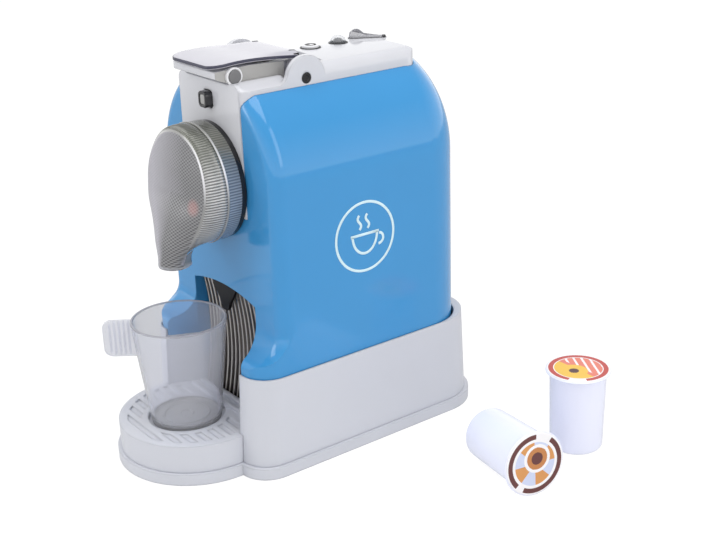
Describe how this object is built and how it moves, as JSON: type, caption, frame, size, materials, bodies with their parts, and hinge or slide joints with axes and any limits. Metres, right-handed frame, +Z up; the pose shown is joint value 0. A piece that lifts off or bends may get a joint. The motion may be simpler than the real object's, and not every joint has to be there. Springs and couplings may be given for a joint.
{
  "type": "toy coffee maker",
  "caption": "Play capsule coffee machine with an arched shell, flip-up lid, brew head, drip tray, push buttons, dial, tumbler and play capsules.",
  "frame": {"origin": "centre of the machine's base plate underside, on the floor", "axes": "+Z up, -Y towards the brew head and drip tray, +X the side with the loose capsules"},
  "size_m": [0.2269, 0.2265, 0.2206],
  "materials": {
    "grey_shell": "satin moulded plastic",
    "blue_gloss": "glossy moulded plastic",
    "light_grey": "soft gloss moulded plastic",
    "black_gloss": "glossy moulded plastic",
    "inner_plastic": "moulded plastic",
    "cell_sleeve": "printed sleeve, bare",
    "spring_steel": "plated",
    "speaker_frame": "matt",
    "mid_grey": "soft gloss",
    "board_green": "lacquered",
    "switch_black": "matt",
    "wire_sleeve": "soft sleeve",
    "smoke_clear": "clear smoke plastic, textured face",
    "led_red": "tinted lens",
    "lid_smoke": "clear smoke plastic with a dark rim",
    "smoke_black": "glossy smoke plastic",
    "white_gloss": "glossy",
    "button_clear": "clear plastic",
    "knob_smoke": "clear smoke plastic",
    "cup_clear": "clear frosted plastic",
    "capsule_white": "glossy moulded plastic",
    "print_red": "printed label",
    "print_brown": "printed label"
  },
  "bodies": {
    "machine": {"base_plate": "grey_shell", "plinth": "grey_shell", "drip_tray": "grey_shell", "backsplash": "black_gloss", "spout_shield": "black_gloss", "battery_box": "inner_plastic", "battery_door": "grey_shell", "battery_1": "cell_sleeve", "battery_2": "cell_sleeve", "battery_3": "cell_sleeve", "battery_contacts": "spring_steel", "door_screw": "spring_steel", "base_screws": "spring_steel", "speaker": "speaker_frame", "body_shell": "blue_gloss", "console": "light_grey", "capsule_hopper": "light_grey", "hopper_pegs": "mid_grey", "capsule_well": "inner_plastic", "hinge_pins": "black_gloss", "console_screws": "spring_steel", "circuit_board": "board_green", "power_switch": "switch_black", "mode_switch": "switch_black", "dial_switch": "switch_black", "wire_harness": "wire_sleeve", "power_bezel": "black_gloss", "mode_bezel": "mid_grey", "head_back_plate": "black_gloss", "head_rear_ring": "smoke_clear", "head_front_cap": "smoke_clear", "head_diffuser": "mid_grey", "head_screws": "spring_steel", "led_board": "board_green", "red_led": "led_red", "power_spring": "spring_steel", "mode_spring": "spring_steel"},
    "lid": {"lid": "lid_smoke"},
    "latch": {"latch_button": "smoke_black"},
    "power_button": {"power_button": "white_gloss"},
    "mode_button": {"mode_button": "button_clear"},
    "dial": {"dial_knob": "knob_smoke", "dial_spindle": "light_grey"},
    "cup": {"cup": "cup_clear"},
    "capsule_a": {"capsule_1_body": "capsule_white", "capsule_1_foil": "print_red"},
    "capsule_b": {"capsule_2_body": "capsule_white", "capsule_2_foil": "print_brown"}
  },
  "joints": [
    {"name": "lid_hinge", "type": "hinge", "parent": "machine", "child": "lid", "pos_m": [0, -0.0174, 0.2078], "axis": [-1, 0, 0], "range_deg": [0, 95]},
    {"name": "latch_press", "type": "slide", "parent": "machine", "child": "latch", "axis": [0, 1, 0], "range_m": [0, 0.002], "stiffness_N_per_m": 250},
    {"name": "power_press", "type": "slide", "parent": "machine", "child": "power_button", "axis": [0, 0, -1], "range_m": [0, 0.0014], "stiffness_N_per_m": 300, "deforming": ["power_spring"]},
    {"name": "mode_press", "type": "slide", "parent": "machine", "child": "mode_button", "axis": [0, 0, -1], "range_m": [0, 0.0014], "stiffness_N_per_m": 300, "deforming": ["mode_spring"]},
    {"name": "dial_turn", "type": "hinge", "parent": "machine", "child": "dial", "pos_m": [0, 0.0486, 0.2144], "axis": [0, 0, 1], "range_deg": [-135, 135]},
    {"name": "cup_lift", "type": "slide", "parent": "machine", "child": "cup", "axis": [0, -0.5, 0.866], "range_m": [0, 0.026]},
    {"name": "capsule_a_lift", "type": "slide", "parent": "machine", "child": "capsule_a", "axis": [0, 0, 1], "range_m": [0, 0.06]},
    {"name": "capsule_b_lift", "type": "slide", "parent": "machine", "child": "capsule_b", "axis": [0, 0, 1], "range_m": [0, 0.06]}
  ]
}
